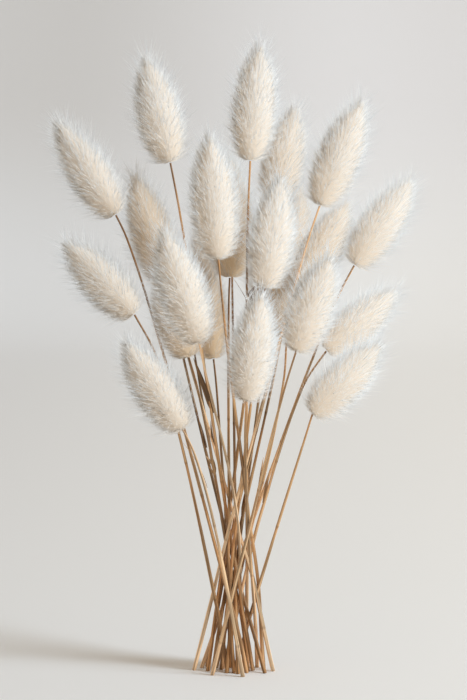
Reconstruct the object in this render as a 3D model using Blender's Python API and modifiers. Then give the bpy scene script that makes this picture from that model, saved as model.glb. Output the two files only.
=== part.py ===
# A bundle of dried bunny tail grass that stands on its own cut stems.
#
# Twenty-six stalks cross in one spiral twist, as in a hand-tied bunch: they splay at the
# feet, squeeze past each other at a waist just above the table and fan out to the heads.
# Each stalk is two pieces: a tapering stem and a soft head, which is an ovoid core
# covered in tufts swept towards the tip.

import math

import bmesh
import bpy
import numpy as np
from mathutils import Matrix, Vector

MM = 0.001

# Driving dimensions, in millimetres and degrees
FOOT_RADIUS = 1.1
NECK_RADIUS = 0.5
GAP = 0.3
LEAN_PER_MM = 0.45
NECK_LENGTH = 24.0

# The stalks: where the head's base is (x to the right, y to the back, z up), how far the
# head leans to the right in the front view, its length, its width over the hairs, and
# where the cut foot stands (x and y). Feet are mostly a third to a half of a turn further
# round than their heads, so that the stems cross in a spiral.
STALKS = [
    (-63, -8, 248, -32, 59, 24.5, 7, -7),
    (-34, 0, 276, -13, 58, 25.5, 10.5, -1),
    (9, -5, 277, 5, 63, 25.5, 5.5, 11),
    (46, -13, 253, 22, 61, 25.0, -21.5, 0),
    (65, -4, 221, 34, 56, 24.5, -17.5, 6),
    (-53, -14, 195, -43, 54, 25.0, -2, -2.5),
    (-36, 8, 211, -17, 62, 24.5, 21.5, -2.5),
    (-8, -24, 225, -4, 67, 26.5, 16.5, 4.5),
    (-18, -42, 182, -17, 66, 26.5, 9, 20),
    (17, -10, 209, 8, 61, 25.0, -6.5, 2),
    (22, 20, 254, 13, 56, 24.0, -14, -2),
    (31, 32, 209, 6, 58, 22.0, -11, -6.5),
    (36, 0, 210, 30, 53, 22.5, -14.5, 9.5),
    (33, -34, 177, 19, 56, 25.5, -11.5, -13),
    (50, -7, 175, 49, 51, 23.5, -5.5, 4),
    (42, -26, 143, 43, 54, 24.0, 1, 10),
    (7, -45, 152, 7, 62, 24.5, 13, 8),
    (-27, -36, 136, -32, 58, 25.0, 5, -17),
    (-24, -10, 172, -19, 49, 23.0, 8, 5),
    (-11, 19, 169, -8, 68, 22.0, -1.5, 7),
    (-2, 9, 214, 4, 53, 23.0, 0, -6.5),
    (29, 14, 181, -5, 54, 22.5, -9.5, 6),
    (-22, 46, 171, -10, 57, 24.0, 8, -3.5),
    (19, 52, 196, 2, 61, 24.5, -4.5, -7),
    (-38, 41, 209, -16, 62, 24.5, 17, -8),
    (-1, 40, 226, -1, 59, 24.5, 2.5, -10),
]

# Routes of the stems. SLANT allows for stems that pass each other at a slant, because their
# distances are measured level. TOUCH is how near past the gap a stem leans on its neighbour.
# The shares say how much of an overlap, a gap or a kink one round of settling takes away.
LEVEL_STEP = 16.0
STRAIGHT_SHARE = 0.55
BELOW_TABLE = 0.4
SLANT = 1.1
TOUCH = 0.15
SETTLE_ROUNDS = 240
PLAIN_ROUNDS = 40
TREE_ROUNDS = 60
PUSH_SHARE = 0.45
HEAD_SHARE = 0.4
PULL_SHARE = 0.3
SMOOTH_SHARE = 0.35

# Heads: the core's width and length as shares of the whole head's, the number of tufts
# round it and along it, how far a tuft leads its root towards the tip, the play in a tuft's
# place along, around and out from the head, and where round the head the first tuft is
CORE_SHARE = 0.70
CORE_LENGTH = 0.87
COLUMNS = 11
ROWS = 10
TUFT_LEAD = 0.06
PLAY_ALONG = 0.02
PLAY_ROUND = 0.10
SHORTEST_TUFT = 0.86
LAST_TUFT = 0.995
FIRST_TURN = 0.05

# Dried leaf blades left on two of the stems: stalk, height, direction of the blade in the
# plan, rise, length and width
LEAVES = [
    (1, 141.0, 215.0, 70.0, 33.0, 3.8),
    (2, 196.0, 20.0, 70.0, 15.0, 3.2),
]
LEAF_THICKNESS = 0.7
LEAF_TAPER = 0.92
LEAF_ARCH = 0.10
LEAF_FOLD = 0.35
LEAF_SUNK = 0.06

CREAM = (0.80, 0.72, 0.61, 1.0)
STRAW = (0.45, 0.27, 0.12, 1.0)
SIDES = 6


# Clearing the scene
for old in list(bpy.data.objects):
    bpy.data.objects.remove(old, do_unlink=True)
bundle = bpy.data.collections.new("bunny_tail_bundle")
bpy.context.scene.collection.children.link(bundle)
rng = np.random.default_rng(28)


def finish(name, colour, roughness):
    """A Principled material of one plain colour."""
    material = bpy.data.materials.new(name)
    material.use_nodes = True
    shader = material.node_tree.nodes["Principled BSDF"]
    shader.inputs["Base Color"].default_value = colour
    shader.inputs["Roughness"].default_value = roughness
    return material


# Places and directions of the heads
places = np.array(STALKS, float)
bases = places[:, :3]
side_lean = np.radians(places[:, 3])
depth_lean = np.radians(LEAN_PER_MM * bases[:, 1])
lengths = places[:, 4]
widths = places[:, 5]
foot = np.column_stack([places[:, 6:8], np.zeros(len(places))])
axes = np.stack(
    [
        np.sin(side_lean) * np.cos(depth_lean),
        np.sin(depth_lean),
        np.cos(side_lean) * np.cos(depth_lean),
    ],
    axis=1,
)
count = len(places)


def outline(u):
    """Half width of a head over its greatest half width, at the share u of its length."""
    return np.sin(np.pi * np.clip(u, 0.0, 1.0) ** 0.78) ** 0.56


def stem_radius(share):
    """A stem's radius at a share of its height: an even taper from foot to neck."""
    return FOOT_RADIUS + (NECK_RADIUS - FOOT_RADIUS) * share


def level_routes():
    """Each stem as x and y at common heights: a cubic that rises straight from its foot and
    ends along the head's own axis."""
    heights = np.arange(0, bases[:, 2].max(), LEVEL_STEP)
    t = np.linspace(0, 1, 200)[:, None]
    routes = np.zeros((count, len(heights), 2))
    for i in range(count):
        neck = bases[i] - axes[i] * NECK_LENGTH
        low = foot[i] + (neck - foot[i]) * STRAIGHT_SHARE
        curve = (
            foot[i] * (1 - t) ** 3
            + 3 * low * t * (1 - t) ** 2
            + 3 * neck * t**2 * (1 - t)
            + bases[i] * t**3
        )
        for side in range(2):
            routes[i, :, side] = np.interp(heights, curve[:, 2], curve[:, side])
    return heights, routes


def stem_pairs(routes, radii, live):
    """For every pair of stems and every step between two levels: the vector between them
    where they pass closest, how far up the step that is, and the distance they need."""
    apart = routes[:, None] - routes[None]
    low, high = apart[:, :, :-1], apart[:, :, 1:]
    slope = high - low
    share = -(low * slope).sum(-1) / np.maximum((slope**2).sum(-1), 1e-9)
    share = np.clip(share, 0, 1)
    nearest = low + slope * share[..., None]
    thick = radii[:, None] + radii[None] + GAP
    need = SLANT * np.maximum(thick[:, :, :-1], thick[:, :, 1:])
    both = live[:, None] & live[None]
    both = both[:, :, :-1] & both[:, :, 1:]
    both &= ~np.eye(count, dtype=bool)[:, :, None]
    return nearest, share, need, both


def spread(push, share):
    """A push in the middle of a step, shared between the levels at its ends."""
    moved = np.zeros((count, push.shape[2] + 1, 2))
    moved[:, :-1] += (push * (1 - share)[..., None]).sum(1)
    moved[:, 1:] += (push * share[..., None]).sum(1)
    return moved


def head_push(routes, heights, radii, live):
    """The sideways push that keeps the stems out of the other stalks' heads."""
    points = np.concatenate(
        [routes, np.broadcast_to(heights[None, :, None], routes.shape[:2] + (1,))], axis=2
    )
    offset = points[:, :, None] - bases
    u = np.clip((offset * axes).sum(-1) / lengths, 0, 1)
    away = offset - (u * lengths)[..., None] * axes
    distance = np.linalg.norm(away, axis=-1)
    need = outline(np.clip(u, 0.04, 0.96)) * widths / 2 + radii[:, :, None] + 2 * GAP
    short = np.where(live[:, :, None], np.maximum(need - distance, 0), 0)
    short *= ~np.eye(count, dtype=bool)[:, None, :]
    flat = away[..., :2] / np.maximum(np.linalg.norm(away[..., :2], axis=-1), 1e-6)[..., None]
    return (flat * short[..., None]).sum(2)


def touching_tree(gaps):
    """Pairs of stems that join all of them by the smallest gaps, as a spanning tree."""
    inside = {0}
    edges = []
    while len(inside) < count:
        outside = [j for j in range(count) if j not in inside]
        i, j = min(((i, j) for i in inside for j in outside), key=lambda pair: gaps[pair])
        edges.append((i, j))
        inside.add(j)
    return edges


def settle(heights, routes, radii, live):
    """Moves the stems sideways until none runs into another stem or a head and each one
    leans on a neighbour. The moves are smoothed along the stem, and its neck stays put."""
    top = live.sum(1)
    level = np.arange(len(heights))
    loose = np.clip((top[:, None] - 2 - level[None]) / 2.0, 0, 1)[..., None]
    moves = np.zeros_like(routes)
    edges = []
    for turn in range(SETTLE_ROUNDS):
        now = routes + moves
        nearest, share, need, both = stem_pairs(now, radii, live)
        distance = np.linalg.norm(nearest, axis=-1)
        short = np.where(both, np.maximum(need - distance, 0), 0)
        direction = nearest / np.maximum(distance, 1e-6)[..., None]
        step = spread(PUSH_SHARE * short[..., None] * direction, share)
        if turn % TREE_ROUNDS == TREE_ROUNDS // 2:
            clearance = np.where(both, distance - need, 1e3)
            edges = touching_tree(clearance.min(-1))
        for i, j in edges:
            slack = np.where(both[i, j], distance[i, j] - need[i, j], 1e3)
            k = int(slack.argmin())
            pull = PULL_SHARE * max(slack[k] - TOUCH, 0) * direction[i, j, k]
            weights = (1 - share[i, j, k], share[i, j, k])
            for offset, weight in enumerate(weights):
                step[i, k + offset] -= weight * pull
                step[j, k + offset] += weight * pull
        step += HEAD_SHARE * head_push(now, heights, radii, live)
        moves += step * loose
        if turn < SETTLE_ROUNDS - PLAIN_ROUNDS:
            middle = (moves[:, :-2] + moves[:, 2:]) / 2
            moves[:, 1:-1] += SMOOTH_SHARE * (middle - moves[:, 1:-1])
            moves *= loose
    return routes + moves


def tube(name, points, radii):
    """A stem as a mesh: a poly curve with a round bevel, its end caps welded on."""
    curve = bpy.data.curves.new(name, "CURVE")
    curve.dimensions = "3D"
    curve.bevel_depth = 1.0
    curve.bevel_resolution = SIDES // 2 - 2
    curve.use_fill_caps = True
    spline = curve.splines.new("POLY")
    spline.points.add(len(points) - 1)
    for point, place, radius in zip(spline.points, points, radii):
        point.co = (*(place * MM), 1.0)
        point.radius = radius * MM
    guide = bpy.data.objects.new(name + "_route", curve)
    bundle.objects.link(guide)
    graph = bpy.context.evaluated_depsgraph_get()
    mesh = bpy.data.meshes.new_from_object(guide.evaluated_get(graph))
    bpy.data.objects.remove(guide, do_unlink=True)
    bpy.data.curves.remove(curve)
    mesh.name = name
    return mesh


def cut_level(mesh):
    """Cuts a stem off at the table, square and closed, as scissors do."""
    bm = bmesh.new()
    bm.from_mesh(mesh)
    bmesh.ops.remove_doubles(bm, verts=bm.verts, dist=1e-6)
    geometry = bm.verts[:] + bm.edges[:] + bm.faces[:]
    cut = bmesh.ops.bisect_plane(
        bm, geom=geometry, dist=1e-7, plane_co=(0, 0, 0), plane_no=(0, 0, 1), clear_inner=True
    )
    rim = [item for item in cut["geom_cut"] if isinstance(item, bmesh.types.BMEdge)]
    bmesh.ops.contextual_create(bm, geom=rim)
    bmesh.ops.recalc_face_normals(bm, faces=bm.faces)
    bm.to_mesh(mesh)
    bm.free()


def leaf_blade(name, root, turn, rise, length, width):
    """A dry strap leaf: a strip that narrows to its tip, arches over and is folded a little
    along its midrib, thickened to a solid."""
    bm = bmesh.new()
    bmesh.ops.create_grid(bm, x_segments=2, y_segments=4, size=0.5)
    for vert in bm.verts:
        share = vert.co.y + 0.5
        across = vert.co.x * width * (1 - LEAF_TAPER * share**2.2)
        along = (share - LEAF_SUNK) * length
        arch = -LEAF_ARCH * length * share**2
        fold = LEAF_FOLD * abs(across)
        vert.co = (across * MM, along * MM, (arch + fold) * MM)
    mesh = bpy.data.meshes.new(name)
    bm.to_mesh(mesh)
    bm.free()
    turned = Matrix.Rotation(math.radians(turn - 90), 4, "Z")
    lifted = Matrix.Rotation(math.radians(rise), 4, "X")
    mesh.transform(Matrix.Translation(Vector(root * MM)) @ turned @ lifted)
    blade = bpy.data.objects.new(name, mesh)
    bundle.objects.link(blade)
    shell = blade.modifiers.new("thickness", "SOLIDIFY")
    shell.thickness = LEAF_THICKNESS * MM
    shell.offset = 0.0
    return blade


def fuse(stem, blade):
    """Joins a leaf to its stem in one solid and removes the loose leaf."""
    join = stem.modifiers.new("leaf", "BOOLEAN")
    join.operation = "UNION"
    join.object = blade
    graph = bpy.context.evaluated_depsgraph_get()
    joined = bpy.data.meshes.new_from_object(stem.evaluated_get(graph))
    stem.modifiers.clear()
    stem.data = joined
    bpy.data.objects.remove(blade, do_unlink=True)


def stem(i, heights, routes, radii, live, material):
    """Stem i: its route through the levels, run on below the table for the cut and stopped
    just under the head."""
    levels = np.flatnonzero(live[i])
    points = np.column_stack([routes[i, levels], heights[levels]])
    below = points[0] - (points[1] - points[0]) * BELOW_TABLE
    top = bases[i] - axes[i] * GAP
    points = np.vstack([below, points[1:], top])
    thick = np.concatenate([[FOOT_RADIUS], radii[i, levels[1:]], [NECK_RADIUS]])
    name = f"stem_{i + 1:02d}"
    mesh = tube(name, points, thick)
    cut_level(mesh)
    mesh.shade_smooth()
    mesh.materials.append(material)
    made = bpy.data.objects.new(name, mesh)
    bundle.objects.link(made)
    return made


def head(i, material):
    """Head i: a sphere stretched to the core's outline, with each face raised to a tuft whose
    tip lies on the head's outer outline, further on towards the head's tip."""
    bm = bmesh.new()
    bmesh.ops.create_uvsphere(bm, u_segments=COLUMNS, v_segments=ROWS, radius=1.0)
    half = widths[i] / 2
    length = lengths[i]
    for vert in bm.verts:
        share = (vert.co.z + 1) / 2
        row = round(math.acos(max(-1.0, min(1.0, vert.co.z))) / math.pi * ROWS)
        angle = math.atan2(vert.co.y, vert.co.x) + row * math.pi / COLUMNS
        radius = CORE_SHARE * half * float(outline(np.array(share)))
        if row in (0, ROWS):
            radius = 0.0
        place = (radius * math.cos(angle), radius * math.sin(angle), CORE_LENGTH * length * share)
        vert.co = place
    tufts = bmesh.ops.poke(bm, faces=bm.faces[:])["verts"]

    def row_and_turn(vert):
        """Where a tuft stands, to draw its play in the same order each time."""
        share = vert.co.z / (CORE_LENGTH * length)
        row = int(math.acos(1 - 2 * share) / math.pi * ROWS)
        return row, (math.atan2(vert.co.y, vert.co.x) + FIRST_TURN) % math.tau

    for vert in sorted(tufts, key=row_and_turn):
        share = vert.co.z / (CORE_LENGTH * length)
        tip = TUFT_LEAD + (1 - TUFT_LEAD) * share + PLAY_ALONG * rng.uniform(-1, 1)
        tip = min(tip, LAST_TUFT)
        angle = math.atan2(vert.co.y, vert.co.x) + PLAY_ROUND * rng.uniform(-1, 1)
        radius = half * float(outline(np.array(tip))) * rng.uniform(SHORTEST_TUFT, 1.0)
        vert.co = (radius * math.cos(angle), radius * math.sin(angle), tip * length)
    turned = Vector((0, 0, 1)).rotation_difference(Vector(axes[i])).to_matrix().to_4x4()
    bmesh.ops.transform(bm, matrix=Matrix.Scale(MM, 4), verts=bm.verts)
    bmesh.ops.transform(bm, matrix=Matrix.Translation(bases[i] * MM) @ turned, verts=bm.verts)
    bmesh.ops.recalc_face_normals(bm, faces=bm.faces)
    name = f"head_{i + 1:02d}"
    mesh = bpy.data.meshes.new(name)
    bm.to_mesh(mesh)
    bm.free()
    mesh.materials.append(material)
    made = bpy.data.objects.new(name, mesh)
    bundle.objects.link(made)
    return made


# Stems, then their leaves, then the heads
levels, routes = level_routes()
alive = levels[None] < bases[:, 2:3] - LEVEL_STEP / 3
thickness = stem_radius(np.clip(levels[None] / bases[:, 2:3], 0, 1))
routes = settle(levels, routes, thickness, alive)
straw = finish("straw", STRAW, 0.6)
cream = finish("cream_hairs", CREAM, 0.9)
stems = [stem(i, levels, routes, thickness, alive, straw) for i in range(count)]
for stalk, height, turn, rise, length, width in LEAVES:
    across = [np.interp(height, levels, routes[stalk, :, side]) for side in range(2)]
    root = np.array([*across, height])
    fuse(stems[stalk], leaf_blade("leaf", root, turn, rise, length, width))
heads = [head(i, cream) for i in range(count)]

# Centring the bundle over the origin
corners = np.array([vert.co for piece in bundle.objects for vert in piece.data.vertices])
centre = (corners.min(0) + corners.max(0)) / 2
for piece in bundle.objects:
    piece.data.transform(Matrix.Translation((-centre[0], -centre[1], 0)))
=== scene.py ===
# %% [markdown]
# # A bundle of dried bunny tail grass
#
# Bunny tail is a grass whose flower head is one soft, egg-shaped tuft of hairs on a thin straw.
# Cut and dried, a couple of dozen of them stand together on their splayed ends.
#
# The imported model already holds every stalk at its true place: `stem_01` to `stem_26` are plain
# six-sided tubes, and `head_01` to `head_26` are tufted ovoids. This script reads each stalk's
# line from those pieces and grows the fine surface along it. So every head and foot stays where
# it is, and all stems but three keep within a millimetre of their packed lines.

import math

import bpy
import numpy as np
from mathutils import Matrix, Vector


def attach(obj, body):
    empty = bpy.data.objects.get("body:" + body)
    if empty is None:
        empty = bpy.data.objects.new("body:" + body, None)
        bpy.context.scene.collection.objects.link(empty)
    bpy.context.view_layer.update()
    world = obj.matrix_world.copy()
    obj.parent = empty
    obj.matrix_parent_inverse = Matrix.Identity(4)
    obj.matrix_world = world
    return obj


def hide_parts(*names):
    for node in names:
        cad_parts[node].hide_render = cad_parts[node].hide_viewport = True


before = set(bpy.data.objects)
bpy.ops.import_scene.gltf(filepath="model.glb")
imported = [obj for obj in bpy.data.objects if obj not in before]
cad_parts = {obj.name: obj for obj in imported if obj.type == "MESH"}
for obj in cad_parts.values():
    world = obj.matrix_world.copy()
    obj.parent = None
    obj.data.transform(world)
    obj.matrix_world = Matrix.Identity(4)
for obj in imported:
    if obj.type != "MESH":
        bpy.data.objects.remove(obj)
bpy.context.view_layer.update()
MM = 0.001
STALKS = sum(name.startswith("stem_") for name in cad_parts)

# %% [markdown]
# ## The camera
#
# The picture was taken from about 1.2 m away with a long lens, a little above the middle of the
# bundle and looking slightly down, so the heads keep their true proportions and the feet show a
# sliver of the table between them. The lens follows from how many pixels tall the bundle is.

# %% The camera
EYE_DISTANCE = 1.2
EYE_HEIGHT = 0.255
AIM_HEIGHT = 0.175
LENS = 114.5
FOOT_CENTRE = Vector((-0.94 * MM, -4.66 * MM, 0.0))

camera = bpy.data.objects.new("camera", bpy.data.cameras.new("camera"))
bpy.context.scene.collection.objects.link(camera)
camera.data.lens = LENS
camera.location = FOOT_CENTRE + Vector((0.0, -EYE_DISTANCE, EYE_HEIGHT))
aim = FOOT_CENTRE + Vector((0.0, 0.0, AIM_HEIGHT)) - camera.location
camera.rotation_euler = aim.to_track_quat("-Z", "Y").to_euler()
bpy.context.scene.camera = camera
print("the camera looks down by", round(math.degrees(math.asin(-aim.normalized().z)), 1), "degrees")

# %% [markdown]
# ## Meshes from arrays
#
# Every piece here is made of triangles, with thousands of hairs in one mesh. Blender's own
# `from_pydata` wants Python lists and is slow at that count, so the arrays go in with
# `foreach_set`. A shape is a dictionary: its points, its faces as rows of three point numbers,
# and any values that go with each point, such as how far along a hair it is. Those values become
# attributes, which the material reads.

# %% Meshes from arrays
def joined(shapes):
    """Several shapes as one: each later one's faces count on from the points before it. The
    values that go with the points are joined in the same order."""
    starts = np.cumsum([0] + [len(shape["points"]) for shape in shapes[:-1]])
    whole = {"faces": np.concatenate([s["faces"] + start for s, start in zip(shapes, starts)])}
    for key in shapes[0]:
        if key != "faces":
            whole[key] = np.concatenate([shape[key] for shape in shapes])
    return whole


def marked(shape, key, value):
    """The shape with the same value at each of its points."""
    shape[key] = np.full(len(shape["points"]), float(value))
    return shape


def piece(name, shape, material):
    """One object at the origin with the shape's points and triangles in its mesh. A shape may
    say which way its points face, as normals. What else it holds becomes point attributes: one
    number or a vector for each point."""
    mesh = bpy.data.meshes.new(name)
    points, faces = shape["points"], shape["faces"]
    mesh.vertices.add(len(points))
    mesh.vertices.foreach_set("co", points.astype(np.float32).ravel())
    mesh.loops.add(faces.size)
    mesh.loops.foreach_set("vertex_index", faces.astype(np.int32).ravel())
    mesh.polygons.add(len(faces))
    mesh.polygons.foreach_set("loop_start", np.arange(0, faces.size, 3, dtype=np.int32))
    mesh.update(calc_edges=True)
    mesh.shade_smooth()
    if "normals" in shape:
        mesh.normals_split_custom_set_from_vertices(shape["normals"].astype(np.float32))
    for key, values in shape.items():
        if key in ("points", "faces", "normals"):
            continue
        kind, field = ("FLOAT_VECTOR", "vector") if values.ndim == 2 else ("FLOAT", "value")
        layer = mesh.attributes.new(key, kind, "POINT")
        layer.data.foreach_set(field, values.astype(np.float32).ravel())
    mesh.materials.append(material)
    made = bpy.data.objects.new(name, mesh)
    bpy.context.scene.collection.objects.link(made)
    return made


# %% [markdown]
# ## Shader sums in Python
#
# A finish is easier to read as a formula than as a drawing of nodes. `Wire` wraps one output
# socket: adding, subtracting or multiplying wires adds the Math nodes, and `node` adds any other
# node from its type, its settings and what goes into its sockets.

# %% Shader sums in Python
class Wire:
    """An output socket that Python's operators work on."""

    def __init__(self, tree, socket):
        self.tree = tree
        self.socket = socket

    def node(self, kind, settings, sockets, output=0):
        """A new node: its settings go first, because they can change which sockets it has."""
        made = self.tree.nodes.new("ShaderNode" + kind)
        for key, value in settings.items():
            setattr(made, key, value)
        for place, value in sockets.items():
            if isinstance(value, Wire):
                self.tree.links.new(value.socket, made.inputs[place])
            else:
                made.inputs[place].default_value = value
        return Wire(self.tree, made.outputs[output])

    def sum(self, operation, first, second):
        return self.node("Math", {"operation": operation}, {0: first, 1: second})

    def __add__(self, other):
        return self.sum("ADD", self, other)

    def __sub__(self, other):
        return self.sum("SUBTRACT", self, other)

    def __rsub__(self, other):
        return self.sum("SUBTRACT", other, self)

    def __mul__(self, other):
        return self.sum("MULTIPLY", self, other)

    __radd__ = __add__
    __rmul__ = __mul__

    def rise(self, low, high):
        """0 below low, 1 above high, and a smooth step between them."""
        settings = {"interpolation_type": "SMOOTHSTEP"}
        return self.node("MapRange", settings, {"Value": self, "From Min": low, "From Max": high})

    def blend(self, first, second):
        """The first colour where this wire is 0 and the second where it is 1."""
        return self.node("Mix", {"data_type": "RGBA"}, {0: self, 6: first, 7: second}, output=2)

    def scaled(self, colour):
        """The colour made lighter or darker by this wire, a plain number at each point."""
        settings = {"operation": "SCALE"}
        return self.node("VectorMath", settings, {0: colour, "Scale": self})


def attribute(tree, name, output="Fac"):
    """What the mesh stores at each point under that name."""
    made = tree.nodes.new("ShaderNodeAttribute")
    made.attribute_name = name
    return Wire(tree, made.outputs[output])


def noise(where, scale, detail):
    """Soft noise of about 0.2 to 0.8, read at the wire's places."""
    return where.node("TexNoise", {}, {"Vector": where, "Scale": scale, "Detail": detail})


def finish(name, constants):
    """A Principled material with these constants on its shader's sockets, its node tree and its
    shader."""
    material = bpy.data.materials.new(name)
    material.use_nodes = True
    shader = material.node_tree.nodes["Principled BSDF"]
    for socket, value in constants.items():
        shader.inputs[socket].default_value = value
    return material, material.node_tree, shader


def feed(wire, shader, socket):
    """The wire feeds that socket of the shader."""
    wire.tree.links.new(wire.socket, shader.inputs[socket])


# %% [markdown]
# ## Where each stalk runs
#
# A packed stem is a tube of six sides with a ring of corners every 16 mm of height, so the
# middle of each ring is a point of its centre line. Two stems carry a leaf, whose corners lie
# off to the side: each ring is looked for only near where the rings below it point to.
#
# Where a stem bends sharply, some of a ring's corners are too far from there and aren't read,
# which moves the middle by less than a millimetre. On stems 9, 16 and 25 whole rings are missed,
# from the bend up to the top, and their curves pass up to 2.7, 6.2 and 3.3 mm beside the packed
# line. The count of rings shows it: these three have 6, 4 and 4, and all others have 10 or more.
#
# A smooth curve through those middles gives as many points as the fine surface needs.

# %% Centre lines of the stems
RING_CORNERS = 6
RING_STEP = 16 * MM
# a ring's corners lie within this height of its level
RING_TILT = 1.2 * MM
# and within this distance of the place where the ring is expected, which is known less well for
# the first ring above the foot
RING_REACH = 2.2 * MM
FIRST_REACH = 9 * MM
CORNER_DECIMALS = 6


def corners(node):
    """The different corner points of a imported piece, as rows, to a thousandth of a mm."""
    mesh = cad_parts[node].data
    flat = np.empty(len(mesh.vertices) * 3, np.float32)
    mesh.vertices.foreach_get("co", flat)
    return np.unique(np.round(flat.reshape(-1, 3).astype(float), CORNER_DECIMALS), axis=0)


def centre_line(node):
    """The middles of a stem's rings, from its foot to its top."""
    points = corners(node)
    top = points[np.argsort(points[:, 2])[-RING_CORNERS:]].mean(0)
    line = [points[points[:, 2] < RING_TILT].mean(0) * (1, 1, 0)]
    for height in np.arange(RING_STEP, top[2] - RING_STEP / 4, RING_STEP):
        expected = line[-1] if len(line) < 2 else 2 * line[-1] - line[-2]
        reach = FIRST_REACH if len(line) < 2 else RING_REACH
        level = np.abs(points[:, 2] - height) < RING_TILT
        near = np.hypot(*(points[:, :2] - expected[:2]).T) < reach
        if (level & near).any():
            line.append(points[level & near].mean(0))
    return np.array(line + [top])


def lengths_along(line):
    """How far along a line each of its points is."""
    return np.concatenate([[0.0], np.cumsum(np.linalg.norm(np.diff(line, axis=0), axis=1))])


def smooth(line, at):
    """A smooth curve through the line's points, read at the given lengths along it. Between two
    points it is a cubic whose ends have the slopes from each point's neighbours."""
    along = lengths_along(line)
    slope = np.gradient(line, along, axis=0)
    k = np.clip(np.searchsorted(along, at, side="right") - 1, 0, len(line) - 2)
    span = (along[k + 1] - along[k])[:, None]
    t = (np.asarray(at) - along[k])[:, None] / span
    start = (2 * t**3 - 3 * t**2 + 1) * line[k] + (t**3 - 2 * t**2 + t) * span * slope[k]
    end = (3 * t**2 - 2 * t**3) * line[k + 1] + (t**3 - t**2) * span * slope[k + 1]
    return start + end


lines = [centre_line(f"stem_{i + 1:02d}") for i in range(STALKS)]
print("rings read:", [len(line) for line in lines])

# %% [markdown]
# ## Surfaces carried along a path
#
# A stem is a circle and a leaf a flat lens, both carried along a line. One function makes both:
# at each point of the path it lays out a ring of corners across the path, and closes the two
# ends with a pole each.

# %% Surfaces carried along a path
def ring_faces(rings, sides):
    """Two triangles for each cell between a ring and the next, and a fan round each pole. The
    poles are the last two points."""
    side = np.arange(sides)
    after = (side + 1) % sides
    low = np.arange(rings - 1)[:, None] * sides
    a, b, c, d = low + side, low + after, low + sides + after, low + sides + side
    cells = np.stack([a, b, c, a, c, d], axis=-1).reshape(-1, 3)
    last = (rings - 1) * sides
    foot = np.stack([np.full(sides, rings * sides), after, side], axis=-1)
    top = np.stack([np.full(sides, rings * sides + 1), last + side, last + after], axis=-1)
    return np.concatenate([cells, foot, top])


def unit(vectors):
    """The same directions with length 1."""
    return vectors / np.linalg.norm(vectors, axis=-1, keepdims=True)


def carried(path, side, wide, high):
    """A closed surface along a path. Each ring's corners are the path's point, plus wide times
    the direction nearest to side that is square to the path, plus high times the third
    direction. wide and high have a row for each ring."""
    tangent = unit(np.gradient(path, axis=0))
    first = unit(side - (tangent @ side)[:, None] * tangent)
    second = np.cross(tangent, first)
    ring = path[:, None] + wide[..., None] * first[:, None] + high[..., None] * second[:, None]
    points = np.concatenate([ring.reshape(-1, 3), path[:1], path[-1:]])
    return {"points": points, "faces": ring_faces(*wide.shape)}


# %% [markdown]
# ## The stems
#
# A grass stem tapers, swells a little at each joint, and is wrapped above the joint in a thin
# sheath, the lower part of a leaf. The sheath ends in a slanted lip where the blade broke off.
# Those are all small changes of the radius, so each stem stays one surface: the radius is a
# function of the length along the stem and of the angle round it. Joints and lips are short, so
# the rings stand closer together there.
#
# Four values go with each point: where it lies in the straw's `grain`, how much it belongs to a
# `sheath` or a `joint`, and its `height` as a share of the stem's length.

# %% The stem's measures
STEM_SIDES = 10
STEM_STEP = 3.4 * MM
LEAST_STEP = 0.2 * MM
FOOT_RADIUS = 1.12 * MM
NECK_RADIUS = 0.5 * MM
TAPER = 0.78

# a joint low or a little higher, by chance, and one above the middle
LOW_JOINTS = (0.16, 0.34)
HIGH_JOINT = 0.62
JOINT_SPREAD = 0.06
JOINT_SWELL = 0.10 * MM
JOINT_LENGTH = 1.0 * MM
JOINT_RINGS = np.linspace(-2.4, 2.4, 7) * MM

SHEATH_THICKNESS = 0.06 * MM
SHEATH_START = 0.8 * MM
SHEATH_LENGTH = (34 * MM, 62 * MM)
BELOW_JOINT = 4 * MM
BELOW_TOP = 12 * MM
LIP_SLANT = 7 * MM
LIP_EDGE = 0.5 * MM
LIP_RINGS = np.linspace(-LIP_SLANT - LIP_EDGE, LIP_EDGE, 9)

WAVE_ROUND = 0.035
WAVE_ALONG = 0.02
WAVE_LENGTH = 9 * MM
GRAIN_STRETCH = 0.03
print("stem radius in mm:", FOOT_RADIUS / MM, "to", NECK_RADIUS / MM)

# %% The stem's surface
def step_up(x):
    """0 below 0, 1 above 1, smooth between."""
    x = np.clip(x, 0, 1)
    return x * x * (3 - 2 * x)


def stem_levels(total, joints, lips):
    """Lengths along a stem for its rings: even ones, and closer ones at each joint and lip.
    Where two nearly meet, the upper one is left out."""
    even = np.linspace(0, total, round(total / STEM_STEP))
    fine = [joint + JOINT_RINGS for joint in joints] + [lip + LIP_RINGS for lip in lips]
    along = np.unique(np.clip(np.concatenate([even, *fine]), 0, total))
    return along[np.concatenate([[True], np.diff(along) > LEAST_STEP])]


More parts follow.
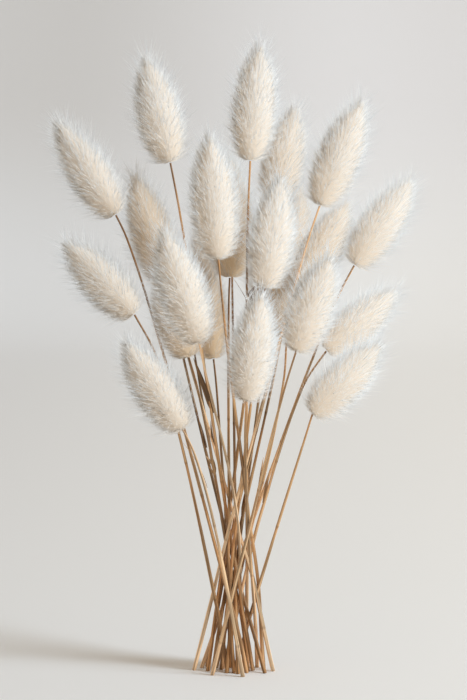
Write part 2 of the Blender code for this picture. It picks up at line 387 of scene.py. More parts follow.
def stem_shape(line, draw):
    """A stem's surface. Radius = taper from foot to neck + a hump at each joint + the sheath's
    thickness from the joint up to its slanted lip, times a faint waviness round and along it."""
    total = lengths_along(line)[-1]
    shares = [LOW_JOINTS[draw.integers(2)], HIGH_JOINT]
    joints = total * (np.array(shares) + draw.uniform(-1, 1, 2) * JOINT_SPREAD)
    lips = joints + draw.uniform(*SHEATH_LENGTH, 2)
    lips = np.minimum(lips, [joints[1] - BELOW_JOINT, total - BELOW_TOP])
    turn = draw.uniform(0, 2 * np.pi, 2)
    start = draw.uniform(0, 1)

    along = stem_levels(total, joints, lips)
    angle = np.arange(STEM_SIDES) * 2 * np.pi / STEM_SIDES
    s, a = np.meshgrid(along, angle, indexing="ij")
    radius = FOOT_RADIUS + (NECK_RADIUS - FOOT_RADIUS) * (s / total) ** TAPER
    sheath = np.zeros_like(s)
    joint_mark = np.zeros_like(s)
    for joint, lip, way in zip(joints, lips, turn):
        edge = lip - LIP_SLANT * (1 + np.cos(a - way)) / 2
        sheath += step_up((s - joint) / SHEATH_START) * step_up((edge - s) / LIP_EDGE)
        joint_mark += np.exp(-(((s - joint) / JOINT_LENGTH) ** 2))
    radius += JOINT_SWELL * joint_mark + SHEATH_THICKNESS * sheath
    round_it = WAVE_ROUND * np.sin(3 * a + turn[0])
    radius *= 1 + round_it + WAVE_ALONG * np.sin(s / WAVE_LENGTH + turn[1])

    path = smooth(line, along)
    shape = carried(path, np.array([1.0, 0, 0]), radius * np.cos(a), radius * np.sin(a))
    shape["points"][:, 2] = np.maximum(shape["points"][:, 2], 0)
    grain = np.stack([radius * np.cos(a), radius * np.sin(a), s * GRAIN_STRETCH + start], -1)
    middle = [(0, 0, start), (0, 0, total * GRAIN_STRETCH + start)]
    shape["grain"] = np.concatenate([grain.reshape(-1, 3), middle])
    shape["sheath"] = np.append(sheath.ravel(), [0, 0])
    shape["joint"] = np.append(joint_mark.ravel(), [0, 0])
    shape["height"] = np.append((s / total).ravel(), [0, 1])
    return shape


# %% [markdown]
# ## Dry leaf remains
#
# Most leaves were stripped from the stems. What is left is one broad dark blade, some narrow
# ones that hug their stem, and a few broken or frayed ends. Each is a flat lens carried along an
# arch, folded along its midrib, and its root lies inside the stem. It is already turned a little
# at the root and turns on towards the tip.

# %% Where the leaf remains are
# stem number, height in mm, direction in the plan and rise in degrees, length and width in mm,
# how far it arches over and how far it twists, both in degrees, and its tone
BLADES = [
    (2, 141, 215, 70, 33, 3.8, 6, 35, 0.0),
    (3, 196, 20, 70, 15, 3.2, 20, 60, 0.0),
    (3, 203, 330, 64, 12, 1.8, 40, -60, 0.05),
    (3, 201, 160, 62, 19, 0.5, 12, 0, 0.4),
    (7, 121, 205, 70, 16, 1.5, -18, 40, 0.1),
    (8, 112, 190, 80, 22, 2.6, -4, 25, 0.3),
    (19, 109, 200, 78, 12, 2.4, 10, 90, 0.7),
    (19, 112, 190, 64, 8, 1.4, 20, 80, 0.8),
    (19, 106, 175, 70, 8, 1.2, 25, 80, 0.6),
    (7, 104, 185, 60, 7, 1.2, -20, 80, 0.3),
    (15, 92, 20, 80, 19, 2.4, 5, 30, 0.8),
    (22, 94, 60, 78, 22, 1.6, 6, 30, 0.9),
    (21, 92, 90, 78, 26, 1.8, 14, 60, 0.3),
    (25, 120, 120, 70, 24, 2.2, 30, 80, 0.05),
    (12, 84, 60, 76, 22, 1.8, 18, 50, 0.3),
    (18, 104, 178, 76, 30, 0.8, 30, 0, 0.4),
]
print("leaf remains:", len(BLADES))

# %% A leaf blade
BLADE_RINGS = 18
BLADE_SIDES = 8
BLADE_THICKNESS = 0.22 * MM
TIP_THINNING = 0.6
ROOT_WIDTH = 0.55
# a blade is at its widest after one part in this many
WIDENING = 5
NARROWING = 2.6
EDGE_WIDTH = 0.05 * MM
FOLD = 0.3
ROOT_TWIST = 0.4
TIP_BROWN = 0.8
# how far the grain's third value runs along a blade
BLADE_GRAIN = 0.001
# a blade looks like half a sheath, at half the stem's height
BLADE_SHEATH = 0.5
BLADE_HEIGHT = 0.5


def blade_shape(root, plan, rise, length, width, arch, twist):
    """A leaf blade. Its midrib is an arc that starts at the rise and bends over by arch. Its half
    width grows from the root over the first fifth and then narrows as one minus a power of the
    share along it. Its two halves fold up from the midrib, and it turns round it by twist."""
    share = np.linspace(0, 1, BLADE_RINGS)
    tilt = np.radians(rise - arch * share)
    out = np.array([math.cos(math.radians(plan)), math.sin(math.radians(plan)), 0])
    step = length / (BLADE_RINGS - 1)
    run = np.cumsum(np.cos(tilt)) * step - step
    lift = np.cumsum(np.sin(tilt)) * step - step
    path = root + run[:, None] * out + lift[:, None] * np.array([0, 0, 1.0])
    across = np.cross(out, [0, 0, 1.0])
    grown = ROOT_WIDTH + (1 - ROOT_WIDTH) * step_up(share * WIDENING)
    half = width / 2 * grown * (1 - share**NARROWING) + EDGE_WIDTH
    angle = np.arange(BLADE_SIDES) * 2 * np.pi / BLADE_SIDES
    turn = np.radians(twist) * (ROOT_TWIST + (1 - ROOT_TWIST) * share[:, None])
    flat = half[:, None] * np.cos(angle)
    thick = BLADE_THICKNESS / 2 * (1 - TIP_THINNING * share[:, None]) * np.sin(angle)
    thick = thick + FOLD * np.abs(flat)
    wide = flat * np.cos(turn) - thick * np.sin(turn)
    high = flat * np.sin(turn) + thick * np.cos(turn)
    shape = carried(path, across, wide, high)
    along = np.append(np.repeat(share, BLADE_SIDES), [0, 1])
    sideways = np.append(flat.ravel(), [0, 0])
    shape["grain"] = np.column_stack([sideways, along * 0, along * BLADE_GRAIN])
    shape["joint"] = TIP_BROWN * along**3
    return marked(marked(shape, "sheath", BLADE_SHEATH), "height", BLADE_HEIGHT)


# %% [markdown]
# ## Straw
#
# Dry grass stems run from pale straw through golden tan to dark brown, each its own tone. Towards
# its head a stem is painted darker and browner, which is painted shade from the heads above it.
# Fibres, stripes and patches run along it, the joints are darker, and the sheaths are duller.
#
# All three patterns are noise of different scales, read on the `grain` attribute. Its third value
# grows only slowly with the length, so every blotch of the noise is stretched along the stem.

# %% The straw finish
def straw_finish():
    material, tree, shader = finish("straw", {"Specular IOR Level": 0.35})
    tone = attribute(tree, "tone")
    grain = attribute(tree, "grain", "Vector")
    sheath = attribute(tree, "sheath")
    joint = attribute(tree, "joint")
    height = attribute(tree, "height")
    fibre = noise(grain, 2600, detail=3.0)
    patch = noise(grain, 420, detail=1.0)
    stripe = noise(grain, 850, detail=0.0)

    dark = (0.17, 0.083, 0.029, 1)
    golden = (0.45, 0.235, 0.097, 1)
    pale = (0.76, 0.52, 0.315, 1)
    dull = (0.44, 0.30, 0.16, 1)
    joint_brown = (0.16, 0.08, 0.03, 1)
    # the stem's own tone, made darker towards the top as painted shade from the heads
    tone_and_shade = tone + 0.08 - 0.24 * height
    warm = tone_and_shade.rise(0.0, 0.5).blend(dark, golden)
    colour = tone_and_shade.rise(0.45, 1.0).blend(warm, pale)
    colour = (sheath * 0.35).blend(colour, dull)
    colour = (joint.rise(0.2, 1.0) * 0.4).blend(colour, joint_brown)
    lighter = 0.42 + 0.3 * fibre.rise(0.3, 0.7) + 0.2 * patch.rise(0.3, 0.7)
    lighter = lighter + 0.75 * stripe.rise(0.38, 0.62)
    feed(lighter.scaled(colour), shader, "Base Color")

    feed(0.36 + 0.2 * fibre + 0.1 * sheath, shader, "Roughness")
    bump = fibre.node("Bump", {}, {"Strength": 0.35, "Distance": 0.12 * MM, "Height": fibre})
    feed(bump, shader, "Normal")
    return material


straw = straw_finish()
print("straw finish:", len(straw.node_tree.nodes), "nodes")

# %% [markdown]
# ## Making the stems
#
# Each stem has its own tone, from 0 for dark brown to 1 for pale straw. The hidden stems at the
# back are the darkest: their own brown, and painted shade in the gaps between the stems in front.
# A leaf remain is part of its stem's mesh, with a tone of its own.

# %% Making the stems
TONES = [0.48, 0.50, 0.62, 0.90, 0.75, 0.40, 0.95, 0.55, 1.0, 0.50, 0.40, 0.3, 0.45]
TONES += [0.75, 0.70, 0.65, 0.7, 0.90, 0.4, 0.32, 0.4, 0.65, 0.10, 0.2, 0.15, 0.3]


def blades_on(number, line):
    """The leaf remains on that stem, each rooted in its line."""
    found = []
    for stem, height, plan, rise, length, width, arch, twist, tone in BLADES:
        if stem == number:
            root = np.array([np.interp(height * MM, line[:, 2], line[:, k]) for k in range(3)])
            blade = blade_shape(root, plan, rise, length * MM, width * MM, arch, twist)
            found.append(marked(blade, "tone", tone))
    return found


stem_draws = np.random.default_rng(7)
stem_pieces = []
for i, line in enumerate(lines):
    stem = marked(stem_shape(line, stem_draws), "tone", TONES[i])
    made = piece(f"dried_stem_{i + 1:02d}", joined([stem, *blades_on(i + 1, line)]), straw)
    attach(made, "root")
    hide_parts(f"stem_{i + 1:02d}")
    stem_pieces.append(made)
print("triangles in the stems:", sum(len(made.data.polygons) for made in stem_pieces))

# %% [markdown]
# ## The heads' own directions
#
# Each packed head starts at its stem's top and holds a corner on its axis near the tip, so the
# line between the two is its direction. How far its corners reach along and away from that line
# gives its length and its half width.

# %% Reading the heads
# the corner on the axis is the end of the core, at this share of the head's length
CORE_LENGTH = 0.87
NEAR_TIP = 0.8 * CORE_LENGTH
TURNS_OF_READING = 3


def read_head(i):
    """A head's base point, direction, length and half width."""
    points = corners(f"head_{i + 1:02d}")
    base = points[np.linalg.norm(points - lines[i][-1], axis=1).argmin()]
    axis = unit(points.mean(0) - base)
    for _ in range(TURNS_OF_READING):
        along = (points - base) @ axis
        away = np.linalg.norm(points - base - along[:, None] * axis, axis=1)
        pole = points[np.where(along > NEAR_TIP * along.max(), away, 1.0).argmin()]
        axis = unit(pole - base)
    along = (points - base) @ axis
    away = np.linalg.norm(points - base - along[:, None] * axis, axis=1)
    return base, axis, along.max(), away.max()


heads = [read_head(i) for i in range(STALKS)]
print("head lengths in mm:", [round(float(head[2] / MM), 1) for head in heads])

# %% [markdown]
# ## Hairs
#
# The softness has to be real shape, because the edge of a head is nothing but hair tips against
# the background. A particle system would grow hairs too, but here each one has to start and end
# at a place of its own, so every hair is a spike: a thin pyramid of four triangles. The places
# come as rows: distance from the head's axis, angle round it and height along it.
#
# Real hairs let light through, so a head looks soft and round, with a bright side and a shaded
# one. Solid spikes would look dark and wiry. Their normals are therefore turned most of the way
# towards the direction out of the head, as game makers do for leaves and fur.

# %% Directions round a head
# how far a hair's normal turns towards the head's tip, at the bottom and what is added at the top
TURN_LOW = 0.12
TURN_HIGH = 0.8
# a direction that no head has
ASIDE = (0.3, 1.0, 0.2)


def across_axis(axis):
    """Two directions square to the axis and to each other."""
    side = unit(np.cross(axis, ASIDE))
    return side, np.cross(axis, side)


def places(base, axis, rows):
    """Points in space from rows of distance from the axis, angle round it and height."""
    side, third = across_axis(axis)
    away, angle, up = rows.T[..., None]
    return base + away * (np.cos(angle) * side + np.sin(angle) * third) + up * axis


def facing(axis, angle, share):
    """The direction out of the head at each hair: away from the axis, and more and more along
    it towards the head's tip."""
    side, third = across_axis(axis)
    out = np.cos(angle)[:, None] * side + np.sin(angle)[:, None] * third
    return unit(out + (TURN_LOW + TURN_HIGH * share)[:, None] * axis)


square = across_axis(np.array([0, 0, 1.0]))
print("square to an upright axis:", *(direction.round(2) for direction in square))

# %% Spikes
SPIKE_FACES = np.array([(0, 2, 1), (0, 1, 3), (1, 2, 3), (2, 0, 3)])
SPIKE_CORNERS = 4
# where a spike's three root corners lie, in radii
FRONT_LIFT = 0.25
BACK_DROP = 0.7
# the weights of the sideways and the outward direction in the normals
ROUNDNESS = 0.5
SOFTNESS = 1.5
# keeps the side of a hair that points straight out from being no direction at all
NUDGE = 1e-6


def ring_and_normals(start, end, out, radius):
    """Offsets to three corners across each hair, and normals for them. Two corners lie left and
    right and make a flat face that looks out of the head. The third lies behind them."""
    course = unit(end - start)
    across = unit(np.cross(course, out) + NUDGE)
    lift = np.cross(across, course)
    front = FRONT_LIFT * lift
    offsets = np.stack([across + front, -BACK_DROP * lift, front - across], axis=1)
    normals = np.stack([ROUNDNESS * across, 0 * across, -ROUNDNESS * across], axis=1)
    return radius[:, None, None] * offsets, normals + SOFTNESS * out[:, None]


def spikes(base, axis, root, tip, out, radius, values):
    """Hairs in one shape: three corners round each root and one at each tip. `along` is 0 at the
    root and 1 at the tip, and a hair's other values go to all four."""
    start, end = places(base, axis, root), places(base, axis, tip)
    offsets, normals = ring_and_normals(start, end, out, radius)
    points = np.concatenate([start[:, None] + offsets, end[:, None]], axis=1)
    normals = np.concatenate([normals, normals[:, 1:2]], axis=1)
    faces = (np.arange(len(points)) * SPIKE_CORNERS)[:, None, None] + SPIKE_FACES
    shape = {"points": points.reshape(-1, 3), "faces": faces.reshape(-1, 3)}
    shape["normals"] = unit(normals).reshape(-1, 3)
    shape["along"] = np.tile([0.0, 0.0, 0.0, 1.0], len(points))
    for key, rows in values.items():
        shape[key] = np.repeat(rows, SPIKE_CORNERS)
    return shape


print("triangles in a hair:", len(SPIKE_FACES))

# %% [markdown]
# ## How the hairs lie
#
# Every hair leaves the core of the head and leans out from its axis. Round the straw the hairs
# stand nearly straight out, along the middle they rise at about 45 degrees, and at the tip they
# lean by 20 degrees. The tips fill a smooth egg with a full bottom and a slimmer, blunt tip.
#
# From the front, hairs on the near side point at the eye and those at the sides point outwards
# and up, so the eye sees a parting along the middle and feathered streaks on both sides.

# %% The outline of the hair tips
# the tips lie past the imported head's half width and length by these factors
PLUMP = 1.12
TALL = 1.04
# the half wave is cut off just short of its ends, so that the tip is blunt
OUTLINE_ENDS = (0.004, 0.97)
OUTLINE_SKEW = 0.76
FULLNESS = 0.38
SLIMMING = 0.19
LOBE_DROP = 0.012
LOBE_SHARE = 0.05


def outline(share):
    """Half width of a head over its greatest, at a share of its length: a half wave that is
    widest in the lower half, with a full bottom and a slimmer tip."""
    share = np.clip(share, *OUTLINE_ENDS)
    return np.sin(np.pi * share**OUTLINE_SKEW) ** (FULLNESS + SLIMMING * share)


def tip_rows(share, angle, reach, length, half):
    """Where hairs for these shares of the head end: on the outline times reach, and a little
    low round the straw, so that the bottom forms a round lobe about it."""
    away = PLUMP * half * outline(share) * reach
    drop = LOBE_DROP * np.exp(-(((share - LOBE_SHARE) / LOBE_SHARE) ** 2))
    return np.column_stack([away, angle, (TALL * share - drop) * length])


print("widest at a share of", np.linspace(0, 1, 101)[outline(np.linspace(0, 1, 101)).argmax()])

# %% How the hairs lie
GOLDEN_ANGLE = math.pi * (3 - math.sqrt(5))
LEAN_LOW = 82.0
LEAN_FALL = 62.0
LEAN_BEND = 0.7
# a hair's length over the head's half width, and how near its root comes to axis and bottom
HAIR_LENGTH = 0.62
LEAST_AWAY = 0.5 * MM
LEAST_UP = 0.6 * MM
# hairs are also set where the head is narrow, by this much
EVEN_PART = 0.25


def lean_at(share):
    """How far hairs lean from the axis, in radians: steeply out at the bottom, then less."""
    return np.radians(LEAN_LOW - LEAN_FALL * np.clip(share, 0, 1) ** LEAN_BEND)


def root_rows(tip, lean, hair_length):
    """Where hairs start: back from their tips along their lean, but never past the axis or
    below the head's bottom."""
    away = np.maximum(tip[:, 0] - hair_length * np.sin(lean), LEAST_AWAY)
    up = np.maximum(tip[:, 2] - hair_length * np.cos(lean), LEAST_UP)
    return np.column_stack([away, tip[:, 1], up])


def spread_shares(count):
    """Shares of the head's length at which to set hairs, closer where the head is wide: the
    outline's running sum, read backwards at even steps."""
    fine = np.linspace(0, 1, 500)
    running = np.cumsum(outline(fine) + EVEN_PART)
    steps = (np.arange(count) + 0.5) / count
    return np.interp(steps * running[-1], running, fine)


print("leans in degrees:", np.degrees(lean_at(np.array([0, 0.5, 1]))).round())

# %% [markdown]
# ## The under coat
#
# A head's fur grows in coats. The under coat is shorter and tan like the husks, and fills the
# depth between the longer hairs. Every coat is set by the golden angle, which never repeats, so
# no rows or seams show.

# %% The under coat
UNDER_HAIRS = 900
UNDER_RADIUS = 0.17 * MM
UNDER_SIZES = (0.7, 1.2)
UNDER_REACH = (0.82, 0.93)
# this coat ends at this part of the height of the rest
UNDER_TOP = 0.985
UNDER_TONES = (0, 0.45)
# spreads by chance: of the share, and of the lean and of the way a hair faces, in radians
UNDER_STRAY = 0.012
UNDER_SWAY = 0.10
UNDER_ROLL = 0.7


def under_coat(base, axis, length, half, draw):
    """Short hairs, one at each place: their tips stay inside the outline by their reach."""
    stray = draw.normal(0, UNDER_STRAY, UNDER_HAIRS)
    share = np.clip(spread_shares(UNDER_HAIRS) + stray, 0, 1)
    angle = GOLDEN_ANGLE * np.arange(UNDER_HAIRS)
    reach = draw.uniform(*UNDER_REACH, UNDER_HAIRS)
    tip = tip_rows(share * UNDER_TOP, angle, reach, length, half)
    lean = lean_at(share) + draw.normal(0, UNDER_SWAY, UNDER_HAIRS)
    root = root_rows(tip, lean, HAIR_LENGTH * half)
    radius = UNDER_RADIUS * draw.uniform(*UNDER_SIZES, UNDER_HAIRS)
    out = facing(axis, angle + draw.normal(0, UNDER_ROLL, UNDER_HAIRS), share)
    values = {"tone": draw.uniform(*UNDER_TONES, UNDER_HAIRS), "share": share}
    return spikes(base, axis, root, tip, out, radius, values)


print("hairs in the under coat:", UNDER_HAIRS)

# %% [markdown]
# ## Tufts
#
# Over the under coat lie the tufts: three hairs each that start apart and gather towards one pale
# point. They show as fine light streaks on the shaded side. The tufts swing to one side or the
# other in slow waves over the head, as if it had been stroked.

# %% Tufts
TUFTS = 2050
TUFT_HAIRS = 3
TUFT_RADIUS = 0.085 * MM
TUFT_SIZES = (0.7, 1.3)
TUFT_LENGTHS = (0.8, 1.15)
TUFT_TONES = (0.2, 1)
# the least reach, and what chance adds
TUFT_REACH = (0.94, 0.10)
TUFT_SWING = 0.16
# spreads by chance, in radians: of a tuft's angle, lean and swing
TUFT_STRAY = 0.05
TUFT_SWAY = 0.12
SWING_SPREAD = 0.07
# and of a single hair's reach, as a share, and lean, in radians
HAIR_REACH = 0.03
HAIR_SWAY = 0.05
# how far apart a tuft's roots lie, along the head and round it, and how much of that is left at
# the tips
TUFT_ALONG = 0.014
TUFT_ROUND = 0.07
TUFT_GATHER = 0.5
# how much more than its place a hair's normal turns
TUFT_BULGE = 12.0
# how many waves the swing has: round the head, slanted and along it, the last two in radians
WAVES_ROUND = 2
WAVES_SLANT = 5
WAVES_ALONG = 7


def waves(angle, share, draw):
    """A slow change over the head, from -1 to 1, so that no two sides look alike: a slanted wave
    round the head times a wave along it."""
    first, second = draw.uniform(0, 2 * np.pi, 2)
    slanted = np.sin(WAVES_ROUND * angle + WAVES_SLANT * share + first)
    return slanted * np.sin(WAVES_ALONG * share + second)


def each_hair(rows):
    """A tuft's value for each of its hairs."""
    return np.repeat(rows, TUFT_HAIRS)


def tuft_coat(base, axis, length, half, draw):
    """The tufts. A hair's offset from its tuft shrinks from the root to the tip, and it turns
    the hair's normal too, so that light falls on each tuft as on a round lock."""
    share = spread_shares(TUFTS)
    angle = GOLDEN_ANGLE * np.arange(TUFTS) + draw.normal(0, TUFT_STRAY, TUFTS)
    reach = TUFT_REACH[0] + TUFT_REACH[1] * draw.uniform(0, 1, TUFTS)
    lean = lean_at(share) + draw.normal(0, TUFT_SWAY, TUFTS)
    swing = TUFT_SWING * waves(angle, share, draw) + draw.normal(0, SWING_SPREAD, TUFTS)
    tone = draw.uniform(*TUFT_TONES, TUFTS)

    count = TUFTS * TUFT_HAIRS
    shift = draw.normal(0, TUFT_ALONG, count)
    turn = draw.normal(0, TUFT_ROUND, count)
    far = each_hair(reach) * (1 + draw.normal(0, HAIR_REACH, count))
    high = np.clip(each_hair(share) + TUFT_GATHER * shift, 0, 1)
    tip = tip_rows(high, each_hair(angle + swing) + TUFT_GATHER * turn, far, length, half)
    long = HAIR_LENGTH * half * draw.uniform(*TUFT_LENGTHS, count)
    root = root_rows(tip, each_hair(lean) + draw.normal(0, HAIR_SWAY, count), long)
    root[:, 1] = each_hair(angle) + turn
    root[:, 2] = np.maximum(root[:, 2] + (1 - TUFT_GATHER) * shift * length, LEAST_UP)

    tilt = np.clip(TUFT_BULGE * turn, -1, 1)
    out = facing(axis, each_hair(angle) + tilt, each_hair(share) + TUFT_BULGE * shift)
    radius = TUFT_RADIUS * draw.uniform(*TUFT_SIZES, count)
    values = {"tone": each_hair(tone), "share": high}
    return spikes(base, axis, root, tip, out, radius, values)


print("hairs in the tufts:", TUFTS * TUFT_HAIRS)

# %% [markdown]
# ## The fringe
#
# Bunny tail also has fine bristles that stand out straight past the rest. Against the background
# they make the soft rim of each head, whiter than the fur. They are so thin that light reaches
# them from every side, so their normals point every way, and up.

# %% The fringe
FRINGE_HAIRS = 1200
FRINGE_RADIUS = 0.11 * MM
FRINGE_SIZES = (0.6, 1.2)
FRINGE_TONES = (0.6, 1)
# the roots lie at this part of the outline's width, and none at the very bottom
FRINGE_ROOT = 0.88
FRINGE_LOWEST = 0.02
# in degrees from the axis at the bottom, and how much less at the tip
FRINGE_LEAN = (70.0, 42.0)
# in mm past the root: the least and what is added, by chance to a power
FRINGE_PAST = (4.0, 10.0)
FRINGE_RARITY = 1.8
# the least value of along, because fringe hairs are pale from root to tip
FRINGE_PALE = 0.5
# spreads by chance: of the share, of the angle in radians, of the lean in degrees and of the
# angle between root and tip in radians
FRINGE_STRAY = 0.02
FRINGE_TURN = 0.4
FRINGE_SWAY = 9
FRINGE_SLANT = 0.06
# how much the normals point sideways, over how much they point up
FRINGE_SIDEWAYS = 0.5


def fringe(base, axis, length, half, draw):
    """Fine straight hairs past the coat: many reach a little past it and few reach far. Tip =
    root + past, at the lean from the axis."""
    stray = draw.normal(0, FRINGE_STRAY, FRINGE_HAIRS)
    share = np.clip(spread_shares(FRINGE_HAIRS) + stray, FRINGE_LOWEST, 1)
    angle = GOLDEN_ANGLE * np.arange(FRINGE_HAIRS) + draw.normal(0, FRINGE_TURN, FRINGE_HAIRS)
    sway = draw.normal(0, FRINGE_SWAY, FRINGE_HAIRS)
    lean = np.radians(FRINGE_LEAN[0] - FRINGE_LEAN[1] * share + sway)
    chance = draw.uniform(0, 1, FRINGE_HAIRS) ** FRINGE_RARITY
    past = (FRINGE_PAST[0] + FRINGE_PAST[1] * chance) * MM
    root = tip_rows(share, angle, FRINGE_ROOT, length, half)
    tip = root.copy()
    tip[:, 0] += past * np.sin(lean)
    tip[:, 1] += draw.normal(0, FRINGE_SLANT, FRINGE_HAIRS)
    tip[:, 2] += past * np.cos(lean)
    radius = FRINGE_RADIUS * draw.uniform(*FRINGE_SIZES, FRINGE_HAIRS)
    any_way = facing(axis, draw.uniform(0, 2 * np.pi, FRINGE_HAIRS), share)
    out = unit(FRINGE_SIDEWAYS * any_way + np.array([0, 0, 1]))
    values = {"tone": draw.uniform(*FRINGE_TONES, FRINGE_HAIRS), "share": share}
    hairs = spikes(base, axis, root, tip, out, radius, values)
    hairs["along"] = np.maximum(hairs["along"], FRINGE_PALE)
    return hairs


print("hairs in the fringe:", FRINGE_HAIRS)

# %% [markdown]
# ## Round the straw
#
# At the bottom, short tan hairs spread from the straw, so that no hole shows where it enters.

# %% Round the straw
BASE_HAIRS = 60
BASE_RADIUS = 0.2 * MM
BASE_SIZES = (0.6, 1.2)
BASE_TONES = (0, 0.3)
# how far from the axis and how high the roots lie
BASE_ROOT = (0.3 * MM, 2.6 * MM)
# the tips' distances from the axis over the half width, their heights in mm, and how far they
# stray from their roots' angles, in radians
BASE_SPREAD = (0.10, 0.36)
BASE_TIPS = (-0.3, 1.0)
BASE_STRAY = 0.1


def base_tuft(base, axis, length, half, draw):
    """Short hairs from just beside the axis, out by a share of the half width and down."""
    angle = GOLDEN_ANGLE * np.arange(BASE_HAIRS)
    root = np.column_stack([0 * angle + BASE_ROOT[0], angle, 0 * angle + BASE_ROOT[1]])
    away = draw.uniform(*BASE_SPREAD, BASE_HAIRS) * half
    up = draw.uniform(*BASE_TIPS, BASE_HAIRS) * MM
    tip = np.column_stack([away, angle + draw.normal(0, BASE_STRAY, BASE_HAIRS), up])
    radius = BASE_RADIUS * draw.uniform(*BASE_SIZES, BASE_HAIRS)
    values = {"tone": draw.uniform(*BASE_TONES, BASE_HAIRS), "share": 0 * angle}
    return spikes(base, axis, root, tip, facing(axis, angle, 0 * angle), radius, values)


print("hairs round the straw:", BASE_HAIRS)

# %% [markdown]
# ## The fur's ground and the seeds
#
# Between the roots one would look through to the far side, so an egg of about three quarters of
# the head's width closes the fur. Inside it lie the seeds on their spindle, a slimmer egg, which is
# the only part of a head that stops the light.

# %% The ground and the seeds
EGG_RINGS = 18
EGG_SIDES = 20
# radii over the head's half width
GROUND_RADIUS = 0.78
SEEDS_RADIUS = 0.46
# where an egg starts and how far it goes on, over the head's length
EGG_LOW = 0.02
EGG_RISE = 0.90
EGG_END = 0.12
# both eggs look like the roots of hairs
EGG_ALONG = 0.25
EGG_TONE = 0.2


def egg(base, axis, length, half, radius):
    """Circles along the axis whose radius follows the head's outline. They lie closer at the
    ends: share = half of one minus the cosine of an even angle."""
    share = (1 - np.cos(np.linspace(EGG_END, np.pi - EGG_END, EGG_RINGS))) / 2
    path = base + (EGG_LOW + EGG_RISE * share)[:, None] * length * axis
    angle = np.arange(EGG_SIDES) * 2 * np.pi / EGG_SIDES
    away = radius * half * outline(share)[:, None] * np.ones(EGG_SIDES)
    shape = carried(path, across_axis(axis)[0], away * np.cos(angle), away * np.sin(angle))
    every = np.tile(angle, EGG_RINGS)
    normals = facing(axis, every, np.repeat(share, EGG_SIDES))
    shape["normals"] = np.concatenate([normals, [-axis, axis]])
    shape["share"] = np.append(np.repeat(share, EGG_SIDES), [0, 1])
    return marked(marked(shape, "along", EGG_ALONG), "tone", EGG_TONE)


print("triangles in an egg:", len(ring_faces(EGG_RINGS, EGG_SIDES)))

# %% [markdown]
# ## The hairs' finish
#
# A hair is tan at its root and bleached towards its tip, and tufts are paler than the under
# coat, which is the `tone` of each hair. A head is a little browner at its bottom. The back of
# the bundle has older, browner heads than the front, and heads that lie in the shade of others are
# painted darker and browner too, which is painted shade. Both are one number for each head.
#
# A faint glow stands in for the light that passes through real hairs. Where the hairs are `thin`,
# as in the fringe, it is stronger and nearly white.

# %% The hair finish
def hair_finish():
    constants = {"Roughness": 0.8, "Sheen Weight": 0.4, "Emission Strength": 0.16}
    material, tree, shader = finish("cream_hairs", constants)
    along = attribute(tree, "along")
    tone = attribute(tree, "tone")
    share = attribute(tree, "share")
    age_and_shade = attribute(tree, "age_and_shade")
    thin = attribute(tree, "thin")
    root = (0.76, 0.60, 0.45, 1)
    cream = (0.94, 0.92, 0.885, 1)
    white = (0.95, 0.965, 0.98, 1)
    brown = (0.65, 0.44, 0.24, 1)
    husk = (0.78, 0.61, 0.44, 1)
    warm_glow = (0.56, 0.44, 0.29, 1)
    pale_glow = (1.0, 0.96, 0.90, 1)
    body = along.rise(0.0, 0.6).blend(root, cream)
    body = (along.rise(0.2, 0.9) * (0.5 + 0.5 * tone)).blend(body, white)
    # older heads, and heads in the shade of others, turn browner: their age and painted shade
    browned_and_shaded = age_and_shade * (1 - 0.3 * along) * (1.3 - 0.8 * share)
    tan = browned_and_shaded.blend(body, brown)
    low = (0.38 * (1 - share.rise(-0.1, 0.5))).blend(tan, husk)
    feed((0.87 + 0.13 * tone).scaled(low), shader, "Base Color")
    feed(thin.blend(warm_glow, pale_glow), shader, "Emission Color")
    return material


hair = hair_finish()
print("hair finish:", len(hair.node_tree.nodes), "nodes")

# %% [markdown]
# ## Making the heads
#
# The fur and the seeds are two pieces, because they meet the light in different ways. Light goes
# through the fine hairs and not through the seeds, so the seeds throw the head's shadow and the
# fur throws none.

# %% Making the heads
# how brown the browner heads are, by their numbers: partly their age, partly painted shade where
# other heads shade them; the others are fresh
AGED_AND_SHADED_HEADS = {4: 0.15, 5: 0.2, 7: 0.7, 11: 0.4, 12: 0.6, 13: 0.6, 14: 0.15, 15: 0.25, 16: 0.2}
AGED_AND_SHADED_HEADS |= {19: 0.65, 20: 0.85, 21: 1.0, 22: 0.65}
FRESH_AGE = 0.05
# each coat, how much of the head's age and painted shade it shows and how thin its hairs are
COATS = ((under_coat, 1.0, 0), (tuft_coat, 1.0, 0), (fringe, 0.25, 1), (base_tuft, 1.0, 0))
FIRST_SEED = 100


def aged_and_shaded(shape, age_and_shade, thin):
    """The shape with its head's age and painted shade, and the thinness of its hairs."""
    return marked(marked(shape, "age_and_shade", age_and_shade), "thin", thin)


def head_shapes(head, age_and_shade, draw):
    """A head's two shapes by name: all coats with the ground in one, and the seeds."""
    fur = [aged_and_shaded(make(*head, draw), age_and_shade * shown, thin) for make, shown, thin in COATS]
    fur.append(aged_and_shaded(egg(*head, GROUND_RADIUS), age_and_shade, 0))
    return {"fur": joined(fur), "seeds": aged_and_shaded(egg(*head, SEEDS_RADIUS), age_and_shade, 0)}


head_pieces = []
for i, head in enumerate(heads):
    age_and_shade = AGED_AND_SHADED_HEADS.get(i + 1, FRESH_AGE)
    shapes = head_shapes(head, age_and_shade, np.random.default_rng(FIRST_SEED + i))
    for kind, shape in shapes.items():
        made = piece(f"{kind}_{i + 1:02d}", shape, hair)
        made.visible_shadow = kind == "seeds"
        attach(made, "root")
        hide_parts(f"head_{i + 1:02d}")
        head_pieces.append(made)
print("triangles in the heads:", sum(len(made.data.polygons) for made in head_pieces))

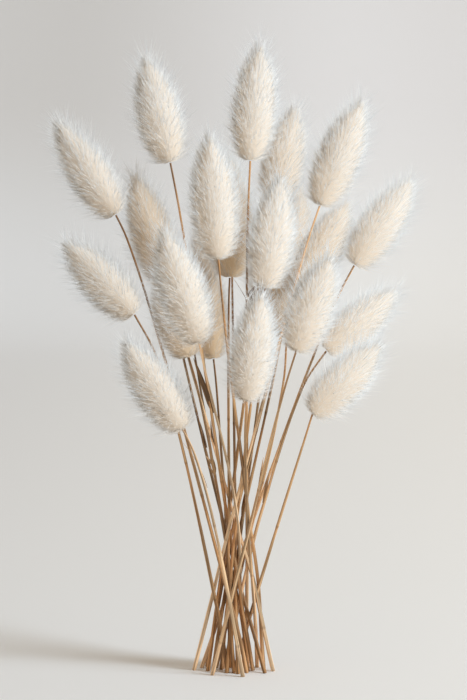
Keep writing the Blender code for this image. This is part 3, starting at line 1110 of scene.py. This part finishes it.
# %% [markdown]
# ## The studio
#
# The bundle stands on pale paper that curves up behind it with no visible corner. Here the paper
# is a dish, flat in the middle and rising all round, so there is paper behind it on every side.
#
# In a real studio the light falls off to the left and up the wall. A far light has no such fall,
# so the paper itself is a little darker there: its colour is blended from left to right and from
# low to high.

# %% The pale sweep
FLAT_RADIUS = 2.6
COVE_RADIUS = 1.4
DISH_SIDES = 96
DISH_RINGS = 40


def dish():
    """A round sweep: a flat disc whose edge turns up along a quarter circle, in rings round the
    middle point. Its faces look up and inwards, so they are read backwards."""
    flat = np.linspace(0, FLAT_RADIUS, DISH_RINGS // 2 + 1)[1:-1]
    turn = np.linspace(0, np.pi / 2, DISH_RINGS // 2)
    away = np.concatenate([flat, FLAT_RADIUS + COVE_RADIUS * np.sin(turn)])
    up = np.concatenate([0 * flat, COVE_RADIUS * (1 - np.cos(turn))])
    angle = np.arange(DISH_SIDES) * 2 * np.pi / DISH_SIDES
    x, y = away[:, None] * np.cos(angle), away[:, None] * np.sin(angle)
    rings = np.stack([x, y, up[:, None] * np.ones(DISH_SIDES)], axis=-1)
    points = np.concatenate([rings.reshape(-1, 3), [(0, 0, 0)]])
    faces = ring_faces(len(away), DISH_SIDES)
    cells = faces[: 2 * DISH_SIDES * (len(away) - 1)][:, ::-1]
    middle = faces[len(cells) : len(cells) + DISH_SIDES][:, ::-1]
    return {"points": points, "faces": np.concatenate([cells, middle])}


sheet = dish()
print("triangles in the paper:", len(sheet["faces"]))

# %% The paper
# from where to where the paper gets paler to the right and darker upwards, in metres
FALL_ACROSS = (-0.40, 0.32)
FALL_UP = (0.0, 0.5)


def paper_finish():
    material, tree, shader = finish("pale_paper", {"Roughness": 0.9})
    place = Wire(tree, tree.nodes.new("ShaderNodeTexCoord").outputs["Object"])
    across = place.node("SeparateXYZ", {}, {0: place}, output=0).rise(*FALL_ACROSS)
    height = place.node("SeparateXYZ", {}, {0: place}, output=2).rise(*FALL_UP)
    low = across.blend((0.795, 0.805, 0.83, 1), (0.985, 0.99, 1.0, 1))
    high = across.blend((0.635, 0.62, 0.615, 1), (0.885, 0.88, 0.905, 1))
    feed(height.blend(low, high), shader, "Base Color")
    return material


sweep = piece("pale_sweep", sheet, paper_finish())
print("paper finish:", len(sweep.data.materials[0].node_tree.nodes), "nodes")

# %% [markdown]
# ## Light
#
# The key comes from the right, a little in front and above, so the right of each head is nearly
# white and its left falls into a warm grey. Most of it is a wide sun lamp, which is equally
# strong on the bundle and on the far paper. A large soft lamp near the bundle adds a little. The
# key is cool and the light that fills the rest of the studio is warm.

# %% Light
KEY_WAY = Vector((0.785, -0.40, 0.487))
KEY_COLOUR = (0.805, 0.912, 1.0)
NEAR_POWER = 8
NEAR_SIZE = 0.7
NEAR_DISTANCE = 1.9
NEAR_AIM = Vector((0, 0, 0.2))
SUN_STRENGTH = 2.16
SUN_WIDTH = math.radians(24)
FILL_COLOUR = (1.0, 0.85, 0.655)
FILL_STRENGTH = 0.46


def key_lamp(name, kind, energy, place):
    """A lamp in the key's colour that shines back along the key's direction."""
    lamp = bpy.data.lights.new(name, kind)
    lamp.energy = energy
    lamp.color = KEY_COLOUR
    made = bpy.data.objects.new(name, lamp)
    made.location = place
    made.rotation_euler = KEY_WAY.to_track_quat("Z", "Y").to_euler()
    bpy.context.scene.collection.objects.link(made)
    return lamp


key_lamp("key", "AREA", NEAR_POWER, KEY_WAY * NEAR_DISTANCE + NEAR_AIM).size = NEAR_SIZE
key_lamp("far key", "SUN", SUN_STRENGTH, (0, 0, 0)).angle = SUN_WIDTH

world = bpy.data.worlds.new("studio")
world.use_nodes = True
fill = world.node_tree.nodes["Background"]
fill.inputs["Color"].default_value = (*FILL_COLOUR, 1)
fill.inputs["Strength"].default_value = FILL_STRENGTH
bpy.context.scene.world = world
bpy.context.scene.view_settings.view_transform = "Standard"
print("the key stands", round(math.degrees(math.asin(KEY_WAY.normalized().z))), "degrees high")
